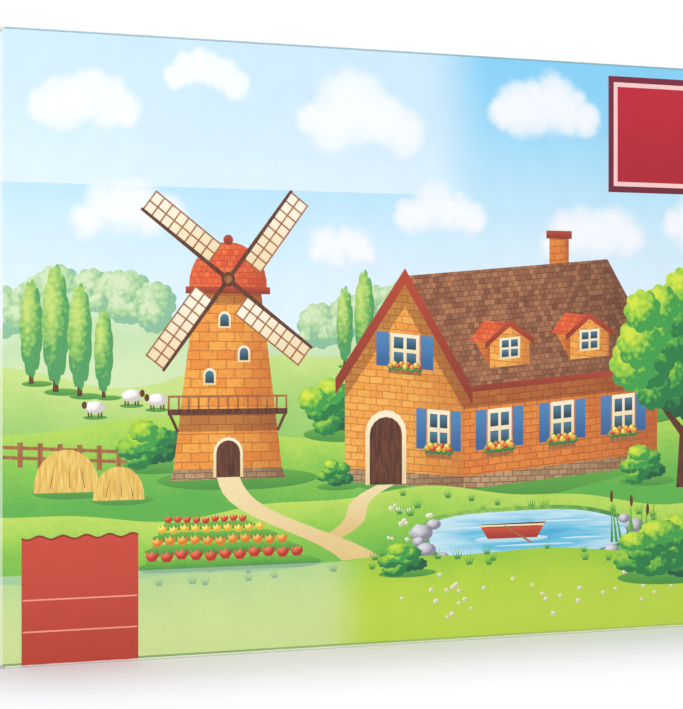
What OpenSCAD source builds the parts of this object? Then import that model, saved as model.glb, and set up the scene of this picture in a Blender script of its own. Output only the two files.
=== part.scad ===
// Closed tuck-end carton of a paper-craft kit, standing on its long narrow side.
// The front panel faces -Y, the end panels face -X and +X, and the origin is at the middle of the base.
// The pack is full and shut, so it is one closed solid with the true form of its folds, flaps and edges.

/* [Carton] */
// Outside width across the front panel
carton_w = 380; // [250:1:500]
// Outside height of the front panel
carton_h = 280; // [180:1:400]
// Outside depth from the front panel to the back panel
carton_d = 50; // [30:1:100]

/* [Board] */
// Thickness of the folded board
board_t = 0.6; // [0.4:0.1:1.2]
// Outside radius of a creased fold
fold_r = 1.2; // [0.8:0.1:2]

/* [End closures] */
// How far the cut edges of an end panel stay clear of the folds above and below it
end_clear = 0.4; // [0.2:0.1:2]
// How far a tuck flap reaches in behind the back panel
tuck_len = 18; // [12:1:30]
// Gap between a tuck flap and the back panel
tuck_gap = 0.3; // [0.2:0.1:1]
// Radius of the thumb notch in each end of the back panel
thumb_r = 9; // [6:0.5:14]

/* [Hidden] */
$fn = 64;

// How far every cut runs past the face that it opens through
overrun = 1;

// Outer faces of the end panels and of the back panel
end_x = carton_w / 2;
back_y = carton_d / 2;

// Outer faces of the dust flaps, one board under the end panels: the sleeve's cut ends are here too
sleeve_x = end_x - board_t;

// Inner face of the back panel, which the glue lap lies against, and outer face of the tuck flaps
lap_y = back_y - board_t;
tuck_y = lap_y - tuck_gap;

// Cut edges of the end panels, below and above
end_low = fold_r + end_clear;
end_high = carton_h - end_low;

// Where the corner reliefs start, on their way out to the end and to the back
relief_x = sleeve_x - end_low;
relief_y = lap_y - end_low;

// Rectangle between two corners, with the same radius on all four
module round_rect(low, high, r) {
    size = high - low;
    translate(low + [r, 0])
        square([size.x - 2 * r, size.y]);
    translate(low + [0, r])
        square([size.x, size.y - 2 * r]);
    for (x = [low.x + r, high.x - r], y = [low.y + r, high.y - r])
        translate([x, y])
            circle(r);
}

// Section across the sleeve, as Y and Z. The front, top and bottom panels turn through creased folds.
// The bottom panel ends in a glue lap, and the back panel's lower edge is cut square over that fold.
module sleeve_section() {
    round_rect([-back_y, 0], [lap_y, carton_h], fold_r);
    round_rect([-back_y, carton_h / 2], [back_y, carton_h], fold_r);
    translate([0, fold_r])
        square([back_y, carton_h / 2]);
}

// Outline from above, as X and Y. An end panel hangs on a fold of the front panel, and turns in behind
// the back panel at its tuck fold. The back panel's ends are cut square, level with the dust flaps.
module plan_outline() {
    round_rect([-end_x, -back_y], [end_x, tuck_y], fold_r);
    translate([-sleeve_x, 0])
        square([2 * sleeve_x, back_y]);
}

// Outline from the front, as X and Z. The dust flaps turn down and up from the top and bottom panels,
// and the end panels lie over them, with their cut edges just inside those folds.
module front_outline() {
    round_rect([-sleeve_x, 0], [sleeve_x, carton_h], fold_r);
    translate([-end_x, end_low])
        square([2 * end_x, end_high - end_low]);
}

// The folded carton is what the three outlines have in common
module folded_carton() {
    intersection() {
        rotate([90, 0, 90])
            linear_extrude(carton_w, center = true)
                sleeve_section();
        linear_extrude(carton_h)
            plan_outline();
        rotate([90, 0, 0])
            linear_extrude(carton_d, center = true)
                front_outline();
    }
}

// Slit at the +X end, where the tuck flap goes in behind the back panel
module tuck_slit() {
    translate([sleeve_x - tuck_len, tuck_y, end_low])
        cube([tuck_len + overrun, tuck_gap, end_high - end_low]);
}

// Half-round notch through the back panel at the +X end, for a thumb on the tuck flap
module thumb_notch() {
    translate([sleeve_x, lap_y, carton_h / 2])
        rotate([-90, 0, 0])
            cylinder(r = thumb_r, h = board_t + overrun);
}

// Reliefs at the lower corners of the +X end, as high as the end panel's cut edge. The dust flap is narrower
// than the carton, so the board isn't crushed where three folds would meet.
module corner_reliefs() {
    reach = end_low + board_t + overrun;
    translate([relief_x, -back_y - overrun, -overrun])
        cube([reach, back_y + overrun - relief_y, end_low + overrun]);
    translate([relief_x, relief_y, -overrun])
        cube([reach, end_low, end_low + overrun]);
}

module carton() {
    color("lightblue")
        difference() {
            folded_carton();
            for (side = [0, 1])
                mirror([side, 0, 0]) {
                    tuck_slit();
                    thumb_notch();
                    corner_reliefs();
                    translate([0, 0, carton_h])
                        mirror([0, 0, 1])
                            corner_reliefs();
                }
        }
}

carton();
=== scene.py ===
"""Looks of a closed craft kit carton: its printed front, plainer print round it, and cut board edges.

The front's picture is a generic country scene. It is a list of flat fields, laid over each other in order
and then cut into one plane mesh, so each edge in the print is an edge in the mesh, and each field has its
own ink. Places and lengths are in millimetres, x to the right from the panel's middle and z up from the
base, unless a comment says metres.
"""
from collections import namedtuple
from math import cos, hypot, pi, radians, sin, sqrt
from random import Random

import bmesh
import bpy
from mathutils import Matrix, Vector
from mathutils.geometry import delaunay_2d_cdt


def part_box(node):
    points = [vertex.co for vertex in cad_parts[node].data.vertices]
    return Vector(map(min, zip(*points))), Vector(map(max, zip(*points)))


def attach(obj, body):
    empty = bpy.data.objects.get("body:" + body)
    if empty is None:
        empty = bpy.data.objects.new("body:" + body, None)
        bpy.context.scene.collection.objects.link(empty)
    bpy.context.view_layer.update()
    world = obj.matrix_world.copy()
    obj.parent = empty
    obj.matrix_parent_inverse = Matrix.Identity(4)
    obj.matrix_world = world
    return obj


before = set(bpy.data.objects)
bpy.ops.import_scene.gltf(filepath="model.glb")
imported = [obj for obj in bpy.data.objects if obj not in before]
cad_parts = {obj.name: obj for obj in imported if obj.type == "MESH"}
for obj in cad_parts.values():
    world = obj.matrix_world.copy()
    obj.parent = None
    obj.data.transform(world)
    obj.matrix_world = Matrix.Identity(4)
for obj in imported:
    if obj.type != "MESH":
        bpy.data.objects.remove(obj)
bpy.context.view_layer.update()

# The carton's box, from its part in model.glb
MM = 0.001
LOW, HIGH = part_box("carton")
WIDTH, DEPTH, HEIGHT = [(high - low) / MM for low, high in zip(LOW, HIGH)]
HALF_W = WIDTH / 2
HALF_D = DEPTH / 2
WAY_ROUND = 2 * (WIDTH + DEPTH)

# The solid's own sizes: fold radius, board, gap between the back and a tuck flap, and an end panel's
# clearance and lower edge
FOLD_R = 1.2
BOARD_T = 0.6
TUCK_GAP = 0.3
END_CLEAR = 0.4
END_LOW = FOLD_R + END_CLEAR

# How near a face lies to a plane that it is on, and how far its normal points one way: enough to belong
# to the front, mostly, and squarely
NEAR = 0.05
TO_FRONT = 0.3
MOSTLY = 0.5
SQUARELY = 0.99

# The ink and its film stand this far out from the front panel
FILM_T = 0.05

# Painted shade darkens the print for this much above the lower fold
FOLD_SHADE_W = 0.9

# Left and right side of the red tag that stands on the front's lower edge, and its red
TAG_SIDES = (-180.4, -126.9)
TAG_RED = "#BC4230"

# Pale veils over the picture, a band at the upper left and a strip at the lower left: where each starts
# and where it is whole, across and then up the panel, and how much it covers
VEIL = "#F6FCFF"
VEILS = (
    ((52, 14), (212, 212.6), 0.55),
    ((-12, -40), (40.6, 40), 0.27),
)

# Clouds: the middle and half-length of each, and how many puffs one has
CLOUDS = (
    (-152, 243, 22), (-95, 260, 17), (-18, 240, 28), (-132, 196, 22), (24, 199, 20),
    (80, 248, 27), (106, 188, 26), (176, 196, 26), (-28, 182, 16),
)
PUFFS = 6

# How much the level lines of a wall that is seen from its corner rise on their way back
WALL_RISE = 0.09

# A full turn, and the turn from point to point that spreads points evenly over a disc
TURN = 2 * pi
GOLDEN_TURN = TURN * 0.381966

WHITE = (1.0, 1.0, 1.0, 1.0)

# Hill lines round the carton, from the back to the front: mean height, waves as height, count and phase,
# colours on the line, below it and at the foot, and how far down the foot is
Hill = namedtuple("Hill", "level waves colours reach")
HILLS = {
    "far_hill": Hill(152, ((6, 5, 0.4), (3, 11, 1.9)), ("#D6EBC4", "#C6E3B2", "#D3EBB6"), 24),
    "near_hill": Hill(131, ((7, 4, 2.6), (2.5, 9, 0.7)), ("#CBE58A", "#B2D977", "#97CC6C"), 34),
    "meadow": Hill(101, ((6, 3, 4.4), (2, 8, 2.0)), ("#B6DC5C", "#86C84F", "#5FB24C"), 36),
    "lawn": Hill(68, ((5, 3, 1.2), (1.5, 10, 0.3)), ("#BFE062", "#95CF4E", "#6DBB4A"), 30),
    "foreground": Hill(39, ((3, 2, 0.8), (1, 9, 2.4)), ("#9FCF3F", "#BADA44", "#C3DD4C"), 30),
}


def linear(code):
    """A written sRGB colour, such as #7CC24A, as the linear values that a shader takes."""
    parts = [int(code[i:i + 2], 16) / 255 for i in (1, 3, 5)]
    return tuple(p / 12.92 if p <= 0.04045 else ((p + 0.055) / 1.055) ** 2.4 for p in parts) + (1.0,)


def ridge(name, way):
    """Height of a hill line, at a place on the way round the carton."""
    level, waves, _, _ = HILLS[name]
    return level + sum(high * sin(TURN * count * way / WAY_ROUND + phase) for high, count, phase in waves)


def in_scene(data):
    """A new object in the scene, of this data and of its name."""
    made = bpy.data.objects.new(data.name, data)
    bpy.context.collection.objects.link(made)
    return made


class Graph:
    """Nodes of a material or a world. Most methods add a node and give back the socket to go on from."""

    def __init__(self, owner):
        owner.use_nodes = True
        self.tree = owner.node_tree

    def put(self, socket, value):
        """Links a socket to another, or sets it to a number, a vector or a written colour."""
        if isinstance(value, bpy.types.NodeSocket):
            self.tree.links.new(value, socket)
        elif isinstance(value, str):
            socket.default_value = linear(value)
        else:
            socket.default_value = value

    def node(self, kind, *values, **settings):
        """A new node with these settings, and with these values in its first sockets."""
        made = self.tree.nodes.new("ShaderNode" + kind)
        for key, value in settings.items():
            setattr(made, key, value)
        for socket, value in zip(made.inputs, values):
            self.put(socket, value)
        return made

    def fill(self, node, **values):
        """Puts values into a node's sockets by name, with _ for each space."""
        for key, value in values.items():
            self.put(node.inputs[key.replace("_", " ")], value)
        return node

    def math(self, operation, *values):
        return self.node("Math", *values, operation=operation).outputs[0]

    def seen_directly(self):
        """1 for a ray from the camera or from a reflection, and 0 for light on its way to a surface."""
        ray = self.node("LightPath").outputs
        reflected = self.math("MAXIMUM", ray["Is Glossy Ray"], ray["Is Transmission Ray"])
        return self.math("MAXIMUM", ray["Is Camera Ray"], reflected)


class Ink(Graph):
    """A printed or bare surface."""

    def __init__(self, name):
        self.material = bpy.data.materials.new(name)
        super().__init__(self.material)
        self.shader = self.tree.nodes["Principled BSDF"]
        self.place = self.scaled(self.node("TexCoord").outputs["Object"], 1 / MM)
        self.x, self.y, self.z = self.split(self.place)

    def vector(self, operation, *values):
        made = self.node("VectorMath", *values, operation=operation)
        return made.outputs["Value" if operation in ("LENGTH", "DISTANCE") else "Vector"]

    def scaled(self, vector, factor):
        return self.fill(self.node("VectorMath", vector, operation="SCALE"), Scale=factor).outputs["Vector"]

    def split(self, vector):
        return self.node("SeparateXYZ", vector).outputs

    def join(self, x, y, z=0.0):
        return self.node("CombineXYZ", x, y, z).outputs[0]

    def smooth(self, value, start, end, low=0.0, high=1.0):
        """Eases from low to high as the value goes from start to end."""
        made = self.node("MapRange", value, start, end, low, high, interpolation_type="SMOOTHSTEP")
        return made.outputs[0]

    def ramp(self, factor, *stops):
        """Blends between colours, each at its place from 0 to 1."""
        made = self.node("ValToRGB", factor)
        elements = made.color_ramp.elements
        while len(elements) < len(stops):
            elements.new(1.0)
        for element, (place, code) in zip(elements, stops):
            element.position = place
            element.color = linear(code)
        return made.outputs[0]

    def mix(self, factor, first, second):
        """Blends two colours. The names of the node's sockets repeat, so they are taken by number."""
        made = self.node("Mix", factor, data_type="RGBA")
        self.put(made.inputs[6], first)
        self.put(made.inputs[7], second)
        return made.outputs[2]

    def noise(self, size, detail=2.0, stretch=(1, 1, 1)):
        """Soft noise from 0 to 1 with spots of about this size."""
        place = self.vector("MULTIPLY", self.place, stretch)
        return self.fill(self.node("TexNoise"), Vector=place, Scale=1 / size, Detail=detail).outputs[0]

    def vary(self, value, noise, swing):
        """The value moved up and down by noise, as much as swing in all."""
        return self.math("ADD", value, self.math("MULTIPLY", self.math("SUBTRACT", noise, 0.5), swing))

    def bump(self, height, strength, depth):
        """The normal of a surface with bumps of this depth."""
        made = self.fill(self.node("Bump"), Height=height, Strength=strength, Distance=depth * MM)
        return made.outputs[0]

    def field(self):
        """Place inside the field that is painted, from -1 to 1 across it and up it."""
        return self.node("UVMap", uv_map="field").outputs[0]

    def below_ridge(self, name, way):
        """How far a place is below a hill line, which is worked out as ridge() does."""
        height, waves, _, _ = HILLS[name]
        for high, count, phase in waves:
            turn = self.math("MULTIPLY_ADD", way, TURN * count / WAY_ROUND, phase)
            height = self.math("MULTIPLY_ADD", self.math("SINE", turn), high, height)
        return self.math("SUBTRACT", height, self.z)


def laminated(ink, colour):
    """Satin film over print: mottled ink, a fine grain, and the board's slight waves."""
    mottle = ink.vary(ink.vary(1.0, ink.noise(14), 0.07), ink.noise(0.9), 0.05)
    grain = ink.vary(ink.noise(45, detail=0.0), ink.noise(0.35), 0.03)
    ink.fill(
        ink.shader, Base_Color=ink.scaled(colour, mottle), Roughness=ink.vary(0.44, ink.noise(6), 0.1),
        Specular_IOR_Level=0.3, Coat_Weight=0.12, Coat_Roughness=0.28,
        Normal=ink.bump(grain, strength=0.12, depth=0.3))
    return ink.material


def veiled(ink, colour):
    """The picture under its pale veils."""
    covers = [
        ink.math("MULTIPLY", ink.smooth(ink.x, *across), ink.smooth(ink.z, *up, high=share))
        for across, up, share in VEILS
    ]
    return ink.mix(ink.math("MAXIMUM", *covers), colour, VEIL)


def sky(ink):
    """Sky from a pale horizon to a fuller blue."""
    height = ink.smooth(ink.vary(ink.z, ink.noise(60), 30), HILLS["far_hill"].level, HEIGHT)
    return ink.ramp(height, (0.0, "#E2F4FC"), (0.45, "#C0E8FA"), (1.0, "#87D2F5"))


def cloudy_sky(ink):
    """Sky with soft clouds, as the highest of many round puffs with ragged edges."""
    ragged = ink.join(ink.vary(ink.x, ink.noise(9), 7), ink.vary(ink.z, ink.noise(8), 6))
    draw = Random(12)
    cover = None
    for x, z, half in CLOUDS:
        for i in range(PUFFS):
            across = (2 * i + 1) / PUFFS - 1
            heap = 1 - across ** 2
            size = half * (0.3 + 0.3 * heap) * draw.uniform(0.85, 1.2)
            up = half * (0.34 * heap + draw.uniform(-0.1, 0.12))
            away = ink.vector("DISTANCE", ragged, (x + across * half, z + up, 0))
            puff = ink.math("MULTIPLY_ADD", away, -1 / size, 1.0)
            cover = ink.math("MAXIMUM", cover, puff) if cover else puff
    shade = ink.mix(ink.smooth(cover, 0.1, 0.7), "#E3F3FB", "#F7FBFE")
    return ink.mix(ink.smooth(cover, -0.12, 0.3), sky(ink), shade)


def grass(ink, name, way=None):
    """A hill, sunlit on its line and deeper below it, with mown streaks. On the front, the way is x."""
    depth = ink.math("DIVIDE", ink.below_ridge(name, way or ink.x), HILLS[name].reach)
    depth = ink.vary(depth, ink.noise(22), 0.5)
    depth = ink.vary(depth, ink.noise(2.2, stretch=(0.12, 0.12, 1.0)), 0.22)
    depth = ink.vary(depth, ink.noise(1.2, detail=3.0, stretch=(1.0, 1.0, 0.4)), 0.4)
    return ink.ramp(depth, *zip((0.0, 0.45, 1.0), HILLS[name].colours))


def ball(ink, light, middle, dark, clump=0.0, swing=0.0):
    """A round thing, lit from the upper left. Leaves and wool add clumps of this size."""
    lit_side = (-0.35, 0.45, 0.0)
    away = ink.vector("DISTANCE", ink.field(), lit_side)
    if clump:
        cells = ink.node("TexVoronoi", ink.join(ink.x, ink.z), feature="SMOOTH_F1")
        leaves = ink.fill(cells, Scale=1 / clump).outputs["Distance"]
        away = ink.vary(ink.vary(away, leaves, swing), ink.noise(0.6 * clump), 0.4 * swing)
    return ink.ramp(away, (0.1, light), (0.7, middle), (1.0, dark))


def side_lit(ink, colour, dark):
    """A round tower or a wall: light at the left, with shade towards the right."""
    across = ink.split(ink.field())[0]
    return ink.mix(ink.smooth(across, -0.2, 1.1, high=0.6), colour, dark)


def leaning(ink, lean):
    """Place on the sheet, with level lines that rise by this much on their way to the right."""
    return ink.join(ink.x, ink.math("MULTIPLY_ADD", ink.x, -lean, ink.z))


def courses(ink, place, light, deep, joint, long, tall, gap):
    """Rows of blocks or tiles, each of its own tone."""
    rows = ink.fill(
        ink.node("TexBrick", offset=0.5), Vector=place, Color1=light, Color2=deep, Mortar=joint, Bias=-0.1,
        Scale=1.0, Mortar_Size=gap, Mortar_Smooth=0.7, Brick_Width=long, Row_Height=tall)
    return rows.outputs["Color"]


def masonry(ink, light, deep, joint, dark, long=8.5, tall=4.2, lean=0.0):
    """Stone blocks with uneven joints and rough faces."""
    x, z, _ = ink.split(leaning(ink, lean))
    wander = ink.join(ink.vary(x, ink.noise(7), 1.2), ink.vary(z, ink.noise(6), 0.9))
    blocks = courses(ink, wander, light, deep, joint, long, tall, gap=0.28)
    rough = ink.mix(ink.smooth(ink.noise(1.6, detail=4.0), 0.45, 0.8, high=0.45), blocks, joint)
    return side_lit(ink, rough, dark)


def tiles(ink, light, deep, dark, lean=0.0):
    """A roof or a cap with rows of tiles."""
    row = 2.6
    clean = courses(ink, leaning(ink, lean), light, deep, dark, 1.1 * row, row, gap=0.16)
    mossy = ink.mix(ink.smooth(ink.noise(9, detail=3.0), 0.5, 0.75, high=0.35), clean, dark)
    return side_lit(ink, mossy, dark)


def streaked(ink, light, dark):
    """Sawn wood or straw, with streaks of grain."""
    streaks = ink.noise(1.1, detail=3.0, stretch=(1.0, 1.0, 0.15))
    return ink.ramp(streaks, (0.3, light), (0.7, dark))


def crease(ink, left, middle, right):
    """Painted shade on the print just above the lower fold, which is darker towards the left."""
    across = ink.vary(ink.math("MULTIPLY_ADD", ink.x, 1 / WIDTH, 0.5), ink.noise(20), 0.1)
    return ink.ramp(across, (0.2, left), (0.5, middle), (0.8, right))


def still_water(ink, light, middle, deep):
    """Deep in the middle, with level streaks of light."""
    edge = ink.vector("LENGTH", ink.field())
    streaks = ink.noise(2.4, detail=3.0, stretch=(0.1, 0.1, 1.0))
    depth = ink.vary(ink.math("MULTIPLY_ADD", edge, -0.75, 0.85), streaks, 1.0)
    return ink.ramp(depth, (0.1, light), (0.5, middle), (0.95, deep))


def even(ink, light, dark):
    """One colour, a little deeper towards the field's foot."""
    up = ink.split(ink.field())[1]
    return ink.mix(ink.smooth(ink.vary(up, ink.noise(12), 0.5), -1.0, 1.0), dark, light)


# Length and height of a wall's blocks
BRICK = (6.6, 3.3)

# Size of a tree's leaf clumps, and how far they swing its light
LEAFY = (2.4, 0.9)

# Inks of the picture, under the function that paints them. Those whose names end in cast lie in shade.
PICTURE = {
    cloudy_sky: {"sky": ()},
    grass: {name: (name,) for name in HILLS},
    ball: {
        "far_leaf": ("#D6EBBE", "#A9D49B", "#8AC09C", 2.2, 0.9),
        "leaf_light": ("#D6E945", "#8CCB43", "#3F9F49", *LEAFY),
        "leaf_mid": ("#A6D443", "#50AA46", "#237C42", *LEAFY),
        "leaf_dark": ("#5CAA45", "#2A8046", "#165A3A", *LEAFY),
        "poplar": ("#C4E076", "#83C060", "#4E9D5C", 2.0, 0.8),
        "wool": ("#FFFFFF", "#F4F1EA", "#CFCBC6", 1.2, 0.5),
        "bank": ("#A9D25B", "#6FB04A", "#4E8F4A", 3.0, 0.8),
        "boulder": ("#E9E6EC", "#BDBAC6", "#8B8A9C", 2.0, 0.35),
        "tulip_red": ("#F58A63", "#E2513A", "#B7342B"),
        "tulip_orange": ("#FFD27A", "#F7A13C", "#DD7A2C"),
        "tulip_yellow": ("#FFF2A0", "#FBD84B", "#E5B02F"),
    },
    masonry: {
        "stone": ("#F7AE4A", "#EC8D38", "#BE682A", "#AE4F25"),
        "stone_cast": ("#C4813A", "#B86C2E", "#965024", "#863C1E"),
        "wall": ("#F9B958", "#F09C40", "#C9742E", "#BC622A", *BRICK, -WALL_RISE),
        "wall_cast": ("#C88C42", "#BD7632", "#9C5826", "#924C24", *BRICK, -WALL_RISE),
        "wall_shade": ("#EA9040", "#DE7A34", "#B25A2A", "#A44C25", *BRICK, WALL_RISE),
        "wall_shade_cast": ("#B86C32", "#AC5A28", "#8A4220", "#80391C", *BRICK, WALL_RISE),
        "plinth": ("#C2A078", "#A37E58", "#75543A", "#6A482E", 5.0, 2.6),
    },
    tiles: {
        "cap": ("#F27440", "#E05630", "#A83A27"),
        "dormer": ("#F27440", "#E05630", "#A83A27", -WALL_RISE),
        "roof": ("#B27A54", "#7E4A34", "#46271B", WALL_RISE),
    },
    streaked: {
        "straw": ("#F7DA7C", "#DBA746"),
        "timber": ("#74402B", "#402218"),
        "timber_light": ("#B97A48", "#8C5534"),
    },
    still_water: {"water": ("#CBECF8", "#72C9E9", "#3AA6D4")},
    even: {
        "shutter": ("#4F86B8", "#38669A"),
        "shade": ("#64AB46", "#4B9441"),
        "roof_edge": ("#B4472F", "#8E3626"),
        "cloth": ("#FFF6E0", "#F3DDB0"),
        "trim": ("#FFF1CF", "#F1D9A4"),
        "glass": ("#4C7A94", "#22404F"),
        "sand": ("#F6E2AE", "#E6C583"),
        "ripple": ("#DDF4FB", "#A6DDF2"),
        "stem": ("#6FB843", "#3E8F42"),
        "hull": ("#D9573C", "#A93A2C"),
    },
}

# Inks of what is printed over the picture and its veils, and of the painted shade along the lower fold
OVERPRINT = {
    crease: {"crease": ("#90AA6C", "#9EBE6A", "#B6CE60")},
    even: {
        "badge": ("#CB4A38", TAG_RED),
        "badge_edge": ("#8A2F22", "#8A2F22"),
        "badge_rule": ("#F4A189", "#F4A189"),
        "plate_edge": ("#761F36", "#6E1A32"),
        "plate_line": ("#FBD0CB", "#FBD0CB"),
        "plate": ("#BE2236", "#AE1D31"),
    },
}


def mixed(palette, under_veils):
    """The inks of a palette, by name."""
    inks = {}
    for paint, rows in palette.items():
        for name, values in rows.items():
            ink = Ink(name)
            colour = paint(ink, *values)
            inks[name] = laminated(ink, veiled(ink, colour) if under_veils else colour)
    return inks


INKS = mixed(PICTURE, under_veils=True) | mixed(OVERPRINT, under_veils=False)

# Flat fields of the print, in the order in which they are laid down, with the box that Ink.field() runs
# across. The first is the whole sheet.
Field = namedtuple("Field", "ink outline middle half")
FIELDS = []
SHEET = 0


def lay(ink, outline):
    """Lays a field over those before it."""
    middle = [(min(part) + max(part)) / 2 for part in zip(*outline)]
    half = [(max(part) - min(part)) / 2 for part in zip(*outline)]
    area = sum(a[0] * b[1] - b[0] * a[1] for a, b in zip(outline, outline[1:] + outline[:1]))
    FIELDS.append(Field(ink, outline if area > 0 else outline[::-1], middle, half))


def oblong(left, low, right, high):
    """An upright rectangle between two corners."""
    return [(left, low), (right, low), (right, high), (left, high)]


def oval(x, z, rx, rz=None, scallops=0, depth_share=0.1):
    """An ellipse, or with scallops a leafy outline of small arcs."""
    rz = rz or rx
    steps = scallops * 5 or 12 + int(max(rx, rz))
    outline = []
    for i in range(steps):
        a = TURN * i / steps
        reach = 1 - depth_share * (1 - abs(sin(scallops * a / 2))) if scallops else 1.0
        outline.append((x + rx * reach * cos(a), z + rz * reach * sin(a)))
    return outline


def bar(start, end, wide, wide_end=None):
    """A straight strip between two points, tapered where it ends in another width."""
    wide_end = wide if wide_end is None else wide_end
    across, up = end[0] - start[0], end[1] - start[1]
    long = hypot(across, up)
    corners = ((start, wide), (start, -wide), (end, -wide_end), (end, wide_end))
    return [(x - up / long / 2 * reach, z + across / long / 2 * reach) for (x, z), reach in corners]


def dome(x, z, half, tall, fullness=0.85, steps=16):
    """A round hood: half an ellipse at a fullness of 1, and wider in the shoulders below that."""
    turns = [pi * i / steps for i in range(steps + 1)]
    return [(x + half * cos(a), z + tall * max(0.0, sin(a)) ** fullness) for a in turns]


def arch(x, z, half, tall):
    """A doorway with a round head, its sides this tall."""
    return [(x - half, z), (x + half, z)] + dome(x, z + tall, half, half, fullness=1, steps=8)


def wall_place(corner, end):
    """Turns shares along a wall's foot, and heights above it, into places on the sheet."""
    return lambda along, up: (
        corner[0] + (end[0] - corner[0]) * along, corner[1] + (end[1] - corner[1]) * along + up)


def panel(place, left, low, right, high):
    """A rectangle on a wall, in the wall's own places."""
    return [place(along, up) for along, up in oblong(left, low, right, high)]


def lay_hill(name, step=5):
    """Everything under a hill line, past the sheet's edges."""
    count = int(WIDTH / step) + 2
    xs = [-HALF_W - step + i * step for i in range(count + 1)]
    lay(name, [(xs[0], -step), (xs[-1], -step)] + [(x, ridge(name, x)) for x in reversed(xs)])


def crown(x, z, rx, rz, lobes, lobe_share, seed):
    """Foliage as leafy lobes: those at the lower right are laid first and are darker."""
    tones = ("leaf_dark", "leaf_mid", "leaf_mid", "leaf_light")
    draw = Random(seed)
    places = []
    for i in range(lobes):
        reach = (1 - 0.8 * lobe_share) * sqrt((i + 0.5) / lobes)
        places.append((x + rx * reach * cos(i * GOLDEN_TURN), z + rz * reach * sin(i * GOLDEN_TURN)))
    places.sort(key=lambda p: (p[1] - z) / rz - (p[0] - x) / rx)
    for order, (px, pz) in enumerate(places):
        size = lobe_share * draw.uniform(0.85, 1.1)
        tone = tones[len(tones) * order // lobes]
        lay(tone, oval(px, pz, rx * size, rz * size, scallops=9, depth_share=0.13))


def tree(x, z, tall, rx, rz, seed):
    """A broad tree on a forked trunk."""
    fork = (x, z + 0.55 * tall)
    lay("timber", bar((x, z), fork, 0.2 * tall, 0.12 * tall))
    for lean in (-0.45, 0.1, 0.5):
        lay("timber", bar(fork, (x + lean * rx, z + tall), 0.09 * tall, 0.04 * tall))
    crown(x, z + tall + 0.55 * rz, rx, rz, lobes=26, lobe_share=0.3, seed=seed)


def bush(x, z, rx, rz, lobes, seed, lobe_share=0.42):
    """A leafy bush, and its shade on the grass."""
    lay("shade", oval(x + 0.15 * rx, z - 0.82 * rz, rx, 0.25 * rz))
    crown(x, z, rx, rz, lobes, lobe_share, seed)


def poplar(x, tall):
    """A slim tree on the nearer of the two hills at the back."""
    foot = ridge("near_hill", x) - 0.25 * tall
    lay("shade", oval(x + 0.12 * tall, foot, 0.32 * tall, 0.06 * tall))
    lay("timber", bar((x, foot), (x, foot + 0.3 * tall), 0.1 * tall, 0.08 * tall))
    lay("poplar", oval(x, foot + 1.1 * tall, 0.24 * tall, tall, scallops=11))


def wood(left, right, count, size, seed):
    """A distant wood along the far hill, in two rows."""
    draw = Random(seed)
    for lift, scale in ((0.75, 1.15), (0.1, 0.8)):
        for i in range(count):
            x = left + (right - left) * (i + draw.uniform(0.0, 1.0)) / count
            r = size * scale * draw.uniform(0.65, 1.3)
            lay("far_leaf", oval(x, ridge("far_hill", x) + lift * size, r, 0.95 * r, scallops=11))


def window(place, along, up, wide, tall):
    """A window with a pale frame and a cross of bars, on a wall."""
    rim_share = 0.11
    rim = wide * rim_share
    rise = tall * rim_share
    lay("trim", panel(place, along, up, along + wide, up + tall))
    for column in (0, 1):
        for row in (0, 1):
            left = along + rim + column * (wide - rim) / 2
            low = up + rise + row * (tall - rise) / 2
            lay("glass", panel(place, left, low, left + (wide - 3 * rim) / 2, low + (tall - 3 * rise) / 2))


def dressed_window(place, along, up, wide, tall):
    """A window with shutters and a box of flowers."""
    window(place, along, up, wide, tall)
    for start in (along - 0.5 * wide, along + 1.05 * wide):
        lay("shutter", panel(place, start, up, start + 0.45 * wide, up + tall))
    lay("timber_light", panel(place, along - 0.08 * wide, up - 0.2 * tall, along + 1.08 * wide, up))
    flowers = [place(along + wide * i / 8, up + 0.07 * tall * (i % 2)) for i in range(9)]
    for x, z in flowers:
        lay("leaf_mid", oval(x, z, 0.12 * tall, scallops=5, depth_share=0.2))
    for i, (x, z) in enumerate(flowers):
        lay(("tulip_red", "tulip_yellow", "tulip_orange")[i % 3], oval(x, z + 0.03 * tall, 0.075 * tall))


def gable_boards(left, peak, right, board):
    """Boards along both slopes of a gable, with their ends cut upright."""
    line = [left, peak, right]
    lay("roof_edge", line + [(x, z - board) for x, z in reversed(line)])


def dormer(place, gable, rise, along, wide, tall):
    """A roof window under a small gable of its own, on the roof's near slope."""
    eave, top, overhang_share = 0.9 * tall, 1.5 * tall, 0.12
    back = 0.5 * gable / rise
    foot = place(along, 0.16)
    front = wall_place(foot, (foot[0] + wide, foot[1] + WALL_RISE * wide))
    peak = front(0.5, top)
    near_eave, far_eave = front(-overhang_share, eave), front(1 + overhang_share, eave)

    def behind(point, height):
        """Where a level line through this point meets the roof."""
        return (point[0] - back * height, point[1] + WALL_RISE * back * height)

    lay("wall_shade", [front(0, 0), front(0, tall), behind(front(0, tall), tall)])
    lay("wall", [front(0, 0), front(1, 0), front(1, tall), peak, front(0, tall)])
    lay("dormer", [near_eave, peak, behind(peak, top), behind(near_eave, eave)])
    window(front, 0.24, 0.25 * tall, 0.52, 0.75 * tall)
    gable_boards(near_eave, (peak[0], peak[1] + 0.1 * tall), far_eave, 0.22 * tall)


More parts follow.
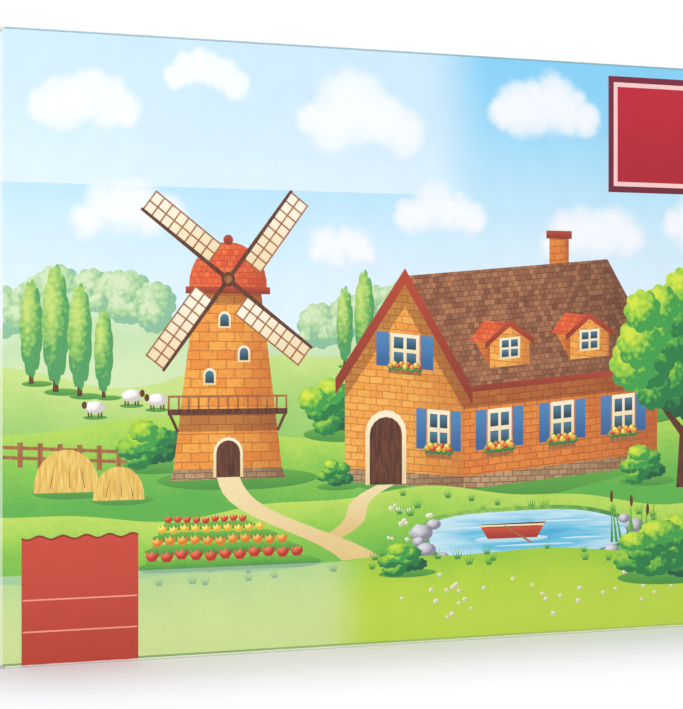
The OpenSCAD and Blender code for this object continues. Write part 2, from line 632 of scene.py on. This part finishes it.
def cottage(x, z, gable, side, wall, rise):
    """A cottage seen from a corner: its gable to the left, and its long side and roof to the right."""
    unit = wall / 22
    left = wall_place((x, z), (x - gable, z + WALL_RISE * gable))
    right = wall_place((x, z), (x + side, z + WALL_RISE * side))
    peak = left(0.5, wall + rise)
    lay("shade", [
        left(1.12, 0), left(0.5, -2.5 * unit), left(0, -3.5 * unit), right(0.5, -3 * unit), right(1.06, 0),
        right(0.5, 3), left(0.5, 3),
    ])
    cottage_walls(left, right, peak, wall, unit)
    chimney(peak[0] + 0.72 * side, peak[1] - unit, unit)
    cottage_roof(left, right, peak, gable, side, wall, rise, unit)
    cottage_openings(left, right, gable, wall)


def cottage_walls(left, right, peak, wall, unit):
    """Both walls, the shade that the roof casts on them, and their stone foot."""
    cast = 6 * unit
    slopes = [left(1, wall), peak, left(0, wall)]
    lay("wall", [left(1, 0), left(0, 0), left(0, wall), peak, left(1, wall)])
    lay("wall_shade", panel(right, 0, 0, 1, wall))
    lay("wall_shade_cast", panel(right, 0, wall - cast, 1, wall))
    lay("wall_cast", slopes + [(x, z - cast) for x, z in reversed(slopes)])
    for place in (left, right):
        lay("plinth", panel(place, 0, 0, 1, 2.6 * unit))


def chimney(x, z, unit):
    """A stack and its cap, from its lower left corner."""
    lay("wall_shade", oblong(x, z, x + 4.5 * unit, z + 9 * unit))
    lay("roof_edge", oblong(x - 0.7 * unit, z + 9 * unit, x + 5.2 * unit, z + 10.6 * unit))


def cottage_roof(left, right, peak, gable, side, wall, rise, unit):
    """The roof's near slope with two dormers, and the boards of the gable."""
    eave = 2.0 * unit
    foot, far_foot = [(x + eave, z) for x, z in (right(0, wall - eave), right(1, wall - eave))]
    far_eave = left(1, wall - eave)

    def slope(along, up):
        """Shares along the eave and up the near slope."""
        return tuple(f + (b - f) * along + (p - f) * up for f, b, p in zip(foot, far_foot, peak))

    lay("roof", [foot, far_foot, (peak[0] + side + eave / 2, peak[1] + WALL_RISE * side), peak])
    lay("roof_edge", bar(foot, far_foot, 1.2 * unit))
    for along in (0.14, 0.55):
        dormer(slope, gable, rise, along, 0.2 * side, 0.3 * rise)
    gable_boards((far_eave[0] - eave, far_eave[1]), (peak[0], peak[1] + 1.5 * unit), foot, 3.2 * unit)


def cottage_openings(left, right, gable, wall):
    """An arched door in the gable, and windows in both walls."""
    sill, tall = 0.34 * wall, 0.36 * wall
    x, z = left(0.66, 0)
    lay("trim", arch(x, z, 0.17 * gable, 0.46 * wall))
    lay("timber", arch(x, z, 0.135 * gable, 0.44 * wall))
    dressed_window(left, 0.12, sill, 0.19, tall)
    dressed_window(left, 0.38, 1.05 * wall, 0.24, 0.3 * wall)
    for along in (0.12, 0.44, 0.76):
        dressed_window(right, along, sill, 0.12, tall)


def sail(hub, turn, long, wide):
    """One sail of the mill: a spar, and cloth on a lattice along its leading side."""
    along = (sin(turn), cos(turn))
    across = (cos(turn), -sin(turn))
    start = 0.24 * long
    bars, lath = 8, 0.75

    def place(a, b):
        return (hub[0] + along[0] * a + across[0] * b, hub[1] + along[1] * a + across[1] * b)

    lay("cloth", panel(place, start, 0, long, wide))
    for i in range(bars + 1):
        a = start + (long - start) * i / bars
        lay("timber_light", bar(place(a, -0.3), place(a, wide + 0.4), lath))
    for b in (wide / 2, wide):
        lay("timber_light", bar(place(start, b), place(long + 0.3, b), lath))
    lay("timber", bar(place(-4, 0), place(long + 1, 0), 2.2, 1.4))


def windmill(x, z):
    """A tapered stone mill with a gallery, a red cap and four sails."""
    foot, head, tall = 27.0, 16.0, 86.0
    gallery = 0.36 * tall
    brace = 9
    hub = (x, z + tall + 5)

    def half(up):
        """Half the tower's width at a height."""
        return foot + (head - foot) * up / tall

    def stretch(low, high, proud=0):
        """The tower between two heights, with its lower edge this far out."""
        a, b = half(low) + proud, half(high)
        return [(x - a, z + low), (x + a, z + low), (x + b, z + high), (x - b, z + high)]

    lay("shade", oval(x + 5, z, foot + 12, 5))
    lay("stone", stretch(0, tall))
    lay("plinth", stretch(0, 5, proud=1))
    lay("trim", arch(x, z + 1, 7.2, 11))
    lay("timber", arch(x, z + 1, 5.8, 11))
    lay("stone_cast", stretch(gallery - brace, gallery))
    lay("stone_cast", stretch(tall - 6, tall))
    for across, up in ((-0.42, 0.5), (0.38, 0.62), (-0.1, 0.8)):
        px = x + across * half(up * tall)
        lay("trim", arch(px, z + up * tall, 3.1, 4.6))
        lay("glass", arch(px, z + up * tall + 0.9, 2.1, 3.5))
    mill_gallery(x, z + gallery, half(gallery) + 6, half(gallery - brace), brace)
    lay("cap", dome(x, z + tall, 19, 22))
    lay("roof_edge", oblong(x - 20.5, z + tall - 1.6, x + 20.5, z + tall + 1.6))
    lay("roof_edge", oval(x, z + tall + 23, 2.4))
    for quarter in range(4):
        sail(hub, radians(37 + 90 * quarter), long=51, wide=10.5)
    lay("timber", oval(*hub, 3.4))
    lay("timber_light", oval(*hub, 1.8))


def mill_gallery(x, z, reach, wall, brace):
    """A deck round the mill with a railing, on a brace from the wall at each side."""
    posts, post = 13, 0.9
    lay("timber", oblong(x - reach, z - 1.5, x + reach, z + 1.2))
    lay("timber_light", oblong(x - reach, z + 6.4, x + reach, z + 7.4))
    for i in range(posts):
        px = x - reach + 0.5 + (2 * reach - 1) * i / (posts - 1)
        lay("timber_light", oblong(px - post / 2, z + 1.2, px + post / 2, z + 7))
    for side in (-1, 1):
        lay("timber", bar((x + side * (reach - 1), z - 1), (x + side * wall, z - brace), 1.4))


def footpath(start, end, bend, wide, wide_end):
    """A path that narrows as it winds away."""
    steps = 14
    left, right = [], []
    for i in range(steps + 1):
        k = i / steps
        x = start[0] + (end[0] - start[0]) * k + bend * sin(TURN * k)
        z = start[1] + (end[1] - start[1]) * k
        half = (wide + (wide_end - wide) * sqrt(k)) / 2
        left.append((x - half, z))
        right.append((x + half, z))
    lay("sand", right + left[::-1])


def tulip_bed(left, right, low, rows, seed):
    """Rows of tulips, smaller and closer towards the back."""
    draw = Random(seed)
    kinds = ("tulip_red", "tulip_orange", "tulip_yellow")
    for row in reversed(range(rows)):
        size = 3.7 * 0.86 ** row
        apart = 1.9 * size
        z = low + 34 * (1 - 0.8 ** row)
        first, last = left + 3 * row, right - 10.5 * row
        foot, middle, head = z - 1.7 * size, z - size, z - 0.2 * size
        lay("stem", [
            (first, foot), (last, foot), (last + size, middle), (last - size, head), (first + size, head),
            (first - size, middle),
        ])
        for i in range(int((last - first) / apart)):
            x = first + apart * (i + 0.5)
            tulip(kinds[row % len(kinds)], x, z + draw.uniform(-0.2, 0.2) * size, size)


def tulip(ink, x, z, size):
    """A cup of petals with three points, between two leaves."""
    cup_shares = (
        (-0.75, 0.95), (-0.8, 0.2), (-0.4, -0.35), (0.4, -0.35), (0.8, 0.2), (0.75, 0.95), (0.35, 0.5),
        (0.0, 1.05), (-0.35, 0.5),
    )
    for side in (-0.7, 0.7):
        lay("stem", bar((x + side * size, z - 0.2 * size), (x, z - 1.6 * size), 0.25 * size, 0.7 * size))
    lay(ink, [(x + across * size, z + up * size) for across, up in cup_shares])


def pond(x, z, rx, rz, seed):
    """Water with a grassy bank, boulders and level glints."""
    draw = Random(seed)
    steps = 44
    glints = ((-0.45, 0.35, 13), (0.3, 0.5, 17), (0.05, -0.35, 22), (0.5, -0.15, 12), (-0.2, -0.7, 14))

    def shore(grow):
        """The uneven edge of the water, or of what lies this far round it."""
        outline = []
        for i in range(steps):
            a = TURN * i / steps
            reach = 1 + 0.05 * sin(3 * a + 0.6) + 0.04 * sin(5 * a + 2)
            outline.append((x + (rx * reach + grow) * cos(a), z + (rz * reach + 0.5 * grow) * sin(a)))
        return outline

    lay("bank", shore(4))
    lay("water", shore(0))
    for across, up, long in glints:
        lay("ripple", oval(x + across * rx, z + up * rz, long, 0.55))
    for i in range(15):
        a = radians(150 + 17 * i)
        r = draw.uniform(3.2, 6.2)
        lay("boulder", oval(x + (rx + 2) * cos(a), z + (rz + 1) * sin(a), r, 0.66 * r))


def boat(x, z):
    """A small rowing boat with its reflection and an oar."""
    inside = ((-17, 6), (18, 6.5), (15, 3), (-14, 3))
    hull = ((-18, 6.4), (-14, 4.4), (14, 4.4), (19, 7), (14, -1), (-13, -1))
    lay("ripple", oval(x, z - 1.2, 20, 1.7))
    for ink, outline in (("timber", inside), ("hull", hull)):
        lay(ink, [(x + across, z + up) for across, up in outline])
    lay("trim", bar((x - 17.2, z + 5.2), (x + 17.6, z + 5.2), 0.9))
    lay("timber_light", bar((x - 4, z + 5), (x + 11, z - 3.5), 0.9))


def reeds(left, right, z, count, seed):
    """A stand of reeds with brown heads."""
    draw = Random(seed)
    for i in range(count):
        x = left + (right - left) * i / (count - 1)
        tip = (x + draw.uniform(-4, 4), z + draw.uniform(14, 24))
        lay("stem", bar((x, z), tip, 1.5, 0.2))
        if i % 3 == 1:
            lay("timber", oval(*tip, 0.9, 3.0))


def fence(start, end, tall, posts):
    """A paddock fence of posts and two rails."""
    place = wall_place(start, end)
    for share in (0.38, 0.78):
        lay("timber_light", panel(place, 0, (share - 0.07) * tall, 1, (share + 0.07) * tall))
    for i in range(posts):
        x, z = place(i / (posts - 1), 0)
        lay("timber_light", oblong(x - 0.11 * tall, z, x + 0.11 * tall, z + tall))


def haystack(x, z, half, tall):
    """A round stack with a few loose stalks."""
    lay("shade", oval(x + 0.15 * half, z, 1.2 * half, 0.2 * half))
    lay("straw", dome(x, z, half, tall))
    for lean in (-0.5, 0.1, 0.55):
        root = (x + lean * half, z + 0.1 * tall)
        lay("timber_light", bar(root, (x + 0.7 * lean * half, z + 0.7 * tall), 0.5, 0.1))


def sheep(x, z, size, facing):
    """A sheep that faces left (-1) or right (1)."""
    lay("shade", oval(x, z, 0.95 * size, 0.16 * size))
    for lean in (-0.5, -0.28, 0.28, 0.5):
        lay("timber", oblong(x + (lean - 0.06) * size, z, x + (lean + 0.06) * size, z + 0.5 * size))
    lay("wool", oval(x, z + 0.75 * size, 0.8 * size, 0.5 * size, scallops=10, depth_share=0.12))
    lay("timber", oval(x + 0.82 * facing * size, z + 0.92 * size, 0.2 * size, 0.28 * size))


def daisies(across, up, count, seed):
    """Small white flowers, scattered over grass."""
    draw = Random(seed)
    for _ in range(count):
        x, z, size = draw.uniform(*across), draw.uniform(*up), draw.uniform(1.0, 1.6)
        lay("wool", oval(x, z, size, 0.85 * size, scallops=7, depth_share=0.35))
        lay("tulip_yellow", oval(x, z, 0.38 * size, 0.34 * size))


def tufts(across, hill, drop, count, seed):
    """Tufts of longer grass, a little below a hill line."""
    draw = Random(seed)
    for _ in range(count):
        x = draw.uniform(*across)
        z = ridge(hill, x) - draw.uniform(*drop)
        size = draw.uniform(3.5, 6.0)
        for lean in (-0.6, -0.25, 0.1, 0.45):
            tip = (x + lean * size, z + size * (1 - 0.4 * abs(lean)))
            lay("stem", bar((x + 0.3 * lean * size, z), tip, 0.9, 0.1))


def badge():
    """Bare red tag at the lower left: a wavy top, and two thin rules."""
    left, right = TAG_SIDES
    top, rise, waves, steps = 56.0, 0.8, 5, 40
    edge, inset, half_rule = 0.9, 0.6, 0.35
    foot = [(left, 0), (right, 0)]
    wave = [
        (right + (left - right) * i / steps, top + rise * sin(TURN * waves * i / steps))
        for i in range(steps + 1)
    ]
    lay("badge_edge", foot + [(x, z + edge) for x, z in wave])
    lay("badge", foot + wave)
    for z in (29.3, 15.4):
        lay("badge_rule", oblong(left + inset, z - half_rule, right - inset, z + half_rule))


def corner_plate():
    """Bare crimson plate at the upper right: a dark edge and a pale line inside it."""
    left, low, right, high = 116.0, 216.7, 178.0, 274.0
    for ink, inset in (("plate_edge", 0.0), ("plate_line", 3.0), ("plate", 5.2)):
        lay(ink, oblong(left + inset, low + inset, right - inset, high - inset))


def sheet_outline():
    """The flat part of the front panel, up to its folds, without the reliefs at its corners."""
    wide, narrow = HALF_W - FOLD_R, HALF_W - BOARD_T - END_LOW
    quarter = [(narrow, FOLD_R), (narrow, END_LOW), (wide, END_LOW)]
    lower = [(-x, z) for x, z in reversed(quarter)] + quarter
    return lower + [(x, HEIGHT - z) for x, z in reversed(lower)]


def draw_distance():
    """Sky, far woods, and the hill with poplars and sheep."""
    lay("sky", sheet_outline())
    lay_hill("far_hill")
    wood(-190, -112, count=11, size=9, seed=1)
    wood(-46, 30, count=10, size=8, seed=2)
    wood(96, 190, count=12, size=10, seed=3)
    lay_hill("near_hill")
    for x, tall in ((-176, 22), (-165, 27), (-154, 24), (-143, 19), (-26, 18), (-16, 22)):
        poplar(x, tall)
    for x, drop, facing in ((-130, 8, 1), (-147, 14, -1), (-118, 12, -1)):
        sheep(x, ridge("near_hill", x) - drop, 6, facing)


def draw_farm():
    """The meadow with the buildings."""
    lay_hill("meadow")
    fence((-190, 88), (-118, 84), tall=11, posts=9)
    bush(-122, 96, 17, 12, lobes=9, seed=4)
    haystack(-160, 76, half=15, tall=19)
    haystack(-136, 72, half=12, tall=15)
    bush(122, 122, 30, 19, lobes=14, seed=5, lobe_share=0.36)
    bush(-30, 112, 20, 15, lobes=10, seed=12, lobe_share=0.4)
    cottage(36, 72, gable=62, side=108, wall=53, rise=46)
    windmill(-84, 80)


def draw_garden():
    """The lawn with paths, flowers and a pond, and the grass in front of it."""
    lay_hill("lawn")
    footpath((-35, 51), (-5, 75.5), bend=4, wide=13, wide_end=9)
    footpath((-10, 30), (-84, 81), bend=9, wide=30, wide_end=11)
    tulip_bed(-124, -41, low=45, rows=4, seed=6)
    tree(160, 70, tall=48, rx=42, rz=42, seed=7)
    bush(-31, 81, 11, 7, lobes=7, seed=13)
    bush(136, 82, 16, 10, lobes=8, seed=14)
    daisies((-4, 20), (48, 66), count=22, seed=15)
    tufts((0, 180), "lawn", drop=(2, 14), count=22, seed=16)
    pond(72, 49, rx=58, rz=13, seed=8)
    boat(62, 49)
    reeds(118, 142, 44, count=10, seed=9)
    lay_hill("foreground")
    tufts((-120, 185), "foreground", drop=(0, 6), count=34, seed=17)
    daisies((0, 185), (8, 32), count=40, seed=18)
    bush(150, 40, 34, 17, lobes=14, seed=10, lobe_share=0.34)
    bush(4, 40, 15, 8, lobes=8, seed=11)


def draw_front():
    """All of the front's print, from the sky to what is printed over the picture, and painted shade along
    the lower fold.
    """
    draw_distance()
    draw_farm()
    draw_garden()
    # A strip of painted shade along the lower fold
    lay("crease", oblong(-HALF_W, 0, HALF_W, FOLD_R + FOLD_SHADE_W))
    badge()
    corner_plate()


def cut_fields():
    """Cuts the plane along all outlines: its points, its triangles, and the fields over each triangle."""
    inside_only, tolerance = 1, 1e-4
    points, loops = [], []
    for field in FIELDS:
        loops.append(list(range(len(points), len(points) + len(field.outline))))
        points.extend(Vector(p) for p in field.outline)
    places, _, faces, _, _, owners = delaunay_2d_cdt(points, [], loops, inside_only, tolerance)
    return places, faces, owners


def print_face(mesh, inks, field_map, bake_map):
    """The print's outer face, where each part takes the ink of the field that was laid last."""
    outer_y = LOW[1] - FILM_T * MM
    places, faces, owners = cut_fields()
    corners = [mesh.verts.new((p.x * MM, outer_y, p.y * MM)) for p in places]
    for face, lots in zip(faces, owners):
        if SHEET not in lots:
            continue
        ink, _, middle, half = FIELDS[max(lots)]
        made = mesh.faces.new([corners[i] for i in face])
        made.material_index = inks.index(ink)
        for loop in made.loops:
            x, z = loop.vert.co.x / MM, loop.vert.co.z / MM
            loop[field_map].uv = ((x - middle[0]) / half[0], (z - middle[1]) / half[1])
            loop[bake_map].uv = ((x + HALF_W) / WIDTH, z / WIDTH)
    bmesh.ops.delete(mesh, geom=[v for v in mesh.verts if not v.link_faces], context="VERTS")
    bmesh.ops.dissolve_limit(
        mesh, angle_limit=radians(1), verts=mesh.verts, edges=mesh.edges, delimit={"MATERIAL", "UV"})


def print_back(mesh, hidden_ink, bake_map):
    """The print's thin rim, and its back on the panel, with a spare corner of the bake map for both."""
    rim = [edge for edge in mesh.edges if edge.is_boundary]
    pulled = bmesh.ops.extrude_edge_only(mesh, edges=rim)["geom"]
    for vert in (part for part in pulled if isinstance(part, bmesh.types.BMVert)):
        vert.co.y = LOW[1]
    back = [edge for edge in mesh.edges if edge.is_boundary]
    closed = bmesh.ops.holes_fill(mesh, edges=back, sides=len(back))["faces"]
    spare, shrink = HEIGHT / WIDTH + 0.02, 4
    for face in [part for part in pulled if isinstance(part, bmesh.types.BMFace)] + closed:
        face.material_index = hidden_ink
        for loop in face.loops:
            x, z = loop.vert.co.x / MM, loop.vert.co.z / MM
            loop[bake_map].uv = ((x + HALF_W) / WIDTH / shrink, spare + z / WIDTH / shrink)


def front_print():
    """The picture as a thin closed sheet on the front panel."""
    draw_front()
    inks = sorted({field.ink for field in FIELDS})
    mesh = bmesh.new()
    field_map = mesh.loops.layers.uv.new("field")
    bake_map = mesh.loops.layers.uv.new("OFBake")
    print_face(mesh, inks, field_map, bake_map)
    print_back(mesh, inks.index("sky"), bake_map)
    data = bpy.data.meshes.new("front_print")
    mesh.to_mesh(data)
    mesh.free()
    for ink in inks:
        data.materials.append(INKS[ink])
    sheet = in_scene(data)
    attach(sheet, "root")


def wrap_ink(name, axis, direction, way_at_middle, front=False):
    """Print on a side panel or a fold, where the front's sky and hills go on with no motifs."""
    blur = 0.2
    ink = Ink(name)
    way = ink.math("MULTIPLY_ADD", {"x": ink.x, "y": ink.y}[axis], direction, way_at_middle)
    colour = sky(ink)
    for hill in HILLS:
        cover = ink.smooth(ink.below_ridge(hill, way), -blur, blur)
        colour = ink.mix(cover, colour, grass(ink, hill, way))
    if front:
        colour = tagged(ink, veiled(ink, colour))
    # The folds get painted shade along the top and a painted highlight elsewhere
    return laminated(ink, fold_shade_and_highlight(ink, colour))


def tagged(ink, colour):
    """The red tag, where it turns round the lower fold."""
    left, right = TAG_SIDES
    between = ink.math("COMPARE", ink.x, (left + right) / 2, (right - left) / 2)
    low = ink.math("LESS_THAN", ink.z, HEIGHT / 2)
    return ink.mix(ink.math("MULTIPLY", between, low), colour, TAG_RED)


def fold_shade_and_highlight(ink, colour):
    """Folds: painted shade as a grey line along the top, and a painted highlight as a pale line elsewhere.
    """
    to_end = ink.math("SUBTRACT", HALF_W, ink.math("ABSOLUTE", ink.x))
    to_front = ink.math("SUBTRACT", HALF_D, ink.math("ABSOLUTE", ink.y))
    to_level = ink.math("MINIMUM", ink.z, ink.math("SUBTRACT", HEIGHT, ink.z))
    least = ink.math("MINIMUM", to_end, to_front)
    most = ink.math("MAXIMUM", to_end, to_front)
    to_edge = ink.math("MAXIMUM", least, ink.math("MINIMUM", most, to_level))
    # Near the folds the print blends into a pale painted highlight, and into grey painted shade along the
    # top
    near_fold = ink.smooth(ink.vary(to_edge, ink.noise(5), 0.5), 1.1 * FOLD_R, 0.65 * FOLD_R)
    share = ink.smooth(to_level, 3 * FOLD_R, FOLD_R, low=0.4, high=0.75)
    shade_and_highlight = ink.mix(ink.smooth(ink.z, HEIGHT - 3 * FOLD_R, HEIGHT - FOLD_R), "#FFFFFA", "#7F9FA4")
    return ink.mix(ink.math("MULTIPLY", near_fold, share), colour, shade_and_highlight)


def board_ink(name, light, dark):
    """Bare grey board, with the fibres of its cut edges."""
    ink = Ink(name)
    fibres = ink.vary(ink.noise(0.5, detail=4.0), ink.noise(3, stretch=(0.3, 3.0, 3.0)), 0.6)
    ink.fill(
        ink.shader, Base_Color=ink.ramp(fibres, (0.25, dark), (0.75, light)),
        Roughness=ink.vary(0.85, ink.noise(2), 0.15), Normal=ink.bump(fibres, strength=0.4, depth=0.1))
    return ink.material


def dress_carton():
    """Gives each face of the solid its print, or bare board where the sheet is cut."""
    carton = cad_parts["carton"]
    quarter = HALF_W + HALF_D
    looks = {
        "front": wrap_ink("wrap_front", "x", 1.0, 0, front=True),
        "back": wrap_ink("wrap_back", "x", -1.0, 2 * quarter),
        "right": wrap_ink("wrap_right", "y", 1.0, quarter),
        "left": wrap_ink("wrap_left", "y", -1.0, -quarter),
        "cut": board_ink("board_edge", "#D9D3C6", "#A9A294"),
        "inner": board_ink("board_inner", "#F4F2EC", "#DAD6CC"),
    }
    carton.data.materials.clear()
    for material in looks.values():
        carton.data.materials.append(material)
    names = list(looks)
    for face in carton.data.polygons:
        face.material_index = names.index(look_of(face))


def look_of(face):
    """Which look a face of the carton takes, from where it lies and where it faces."""
    x, y, z = face.center / MM
    facing = face.normal
    past_lap = y > HALF_D - BOARD_T - NEAR
    inside = y < HALF_D - NEAR
    on_end_panel = abs(x) > HALF_W - BOARD_T - NEAR
    in_slit = HALF_D - BOARD_T - TUCK_GAP - NEAR < y < HALF_D - BOARD_T + NEAR
    if in_slit and abs(facing.y) > MOSTLY or in_relief(face):
        return "inner"
    if past_lap and inside and abs(facing.y) < MOSTLY and z < HEIGHT - 2 * FOLD_R:
        return "cut"
    if on_end_panel and abs(facing.z) > SQUARELY and END_LOW - NEAR < z < HEIGHT - END_LOW + NEAR:
        return "cut"
    if facing.y < -TO_FRONT:
        return "front"
    if abs(facing.x) > MOSTLY:
        return "right" if x > 0 else "left"
    return "back"


def in_relief(face):
    """Whether a face is a wall of one of the small reliefs that are cut at the carton's corners."""
    x, y, z = face.center / MM
    reach = BOARD_T + END_LOW + NEAR
    near_corner = HALF_W - abs(x) < reach and HALF_D - abs(y) < reach
    near_level = min(z, HEIGHT - z) < END_LOW + NEAR
    squarely = max(abs(part) for part in face.normal) > SQUARELY
    return near_corner and near_level and y < HALF_D - BOARD_T + NEAR and squarely


def surround():
    """A world that looks white and lights the carton less than it looks."""
    light, look = 0.37, 1.0
    world = bpy.data.worlds.new("surround")
    bpy.context.scene.world = world
    graph = Graph(world)
    graph.tree.nodes.clear()
    whites = [graph.node("Background", WHITE, strength).outputs[0] for strength in (light, look)]
    choose = graph.node("MixShader", graph.seen_directly(), *whites)
    graph.node("OutputWorld", choose.outputs[0])


def floor():
    """A pale floor that takes the carton's shadow, glows less near the carton as painted shade, and whitens
    into the surround further out.
    """
    half = 4000
    painted_shadow_reach = 120
    fade = (500, 1700)
    data = bpy.data.meshes.new("floor")
    corners = [(x * MM, y * MM, 0) for x, y in oblong(-half, -half, half, half)]
    data.from_pydata(corners, [], [(0, 1, 2, 3)])
    ink = Ink("floor_white")
    past = ink.vector("SUBTRACT", ink.vector("ABSOLUTE", ink.place), (HALF_W, HALF_D, 0))
    outside = ink.vector("MAXIMUM", past, (0, 0, 0))
    # The floor glows less near the carton: painted shade that deepens its shadow there
    near = ink.smooth(ink.vector("LENGTH", outside), 0, painted_shadow_reach, low=0.17, high=0.31)
    far = ink.smooth(ink.vector("LENGTH", ink.place), *fade, high=0.65)
    glow = ink.math("MULTIPLY", ink.seen_directly(), ink.math("ADD", near, far))
    ink.fill(
        ink.shader, Base_Color=(0.74, 0.72, 0.78, 1.0), Roughness=0.9, Emission_Color=WHITE,
        Emission_Strength=glow)
    data.materials.append(ink.material)
    made = in_scene(data)


def lamp(name, place, size, watts):
    """A square soft lamp that looks at the carton's middle. Its place and size are in metres."""
    data = bpy.data.lights.new(name, "AREA")
    data.size = size
    data.energy = watts
    made = in_scene(data)
    made.location = place
    aim = Vector((0, 0, HEIGHT * MM / 2)) - Vector(place)
    made.rotation_euler = aim.to_track_quat("-Z", "Y").to_euler()


def studio():
    """A white room with soft lamps: one in front to the left, one above, and a weaker one behind."""
    bpy.context.scene.view_settings.view_transform = "Standard"
    surround()
    floor()
    lamp("front_lamp", place=(-0.65, -1.7, 0.8), size=1.4, watts=22)
    lamp("top_lamp", place=(0.1, 0.4, 1.9), size=1.0, watts=14.5)
    lamp("back_lamp", place=(0.5, 1.7, 0.9), size=1.4, watts=10)


def camera():
    """A level camera at mid-height, turned so that the carton's edges run as in the photograph."""
    photo_high = 709
    horizon_row = 347.5
    focal_px = 2121.0
    yaw = radians(23.7)
    place = (-424.8, -929.6, 140)
    data = bpy.data.cameras.new("camera")
    data.sensor_width = 36.0
    data.lens = data.sensor_width * focal_px / photo_high
    data.shift_y = -(photo_high / 2 - horizon_row) / photo_high
    made = in_scene(data)
    made.location = [part * MM for part in place]
    made.rotation_euler = (pi / 2, 0, -yaw)
    bpy.context.scene.camera = made


camera()
studio()
dress_carton()
front_print()
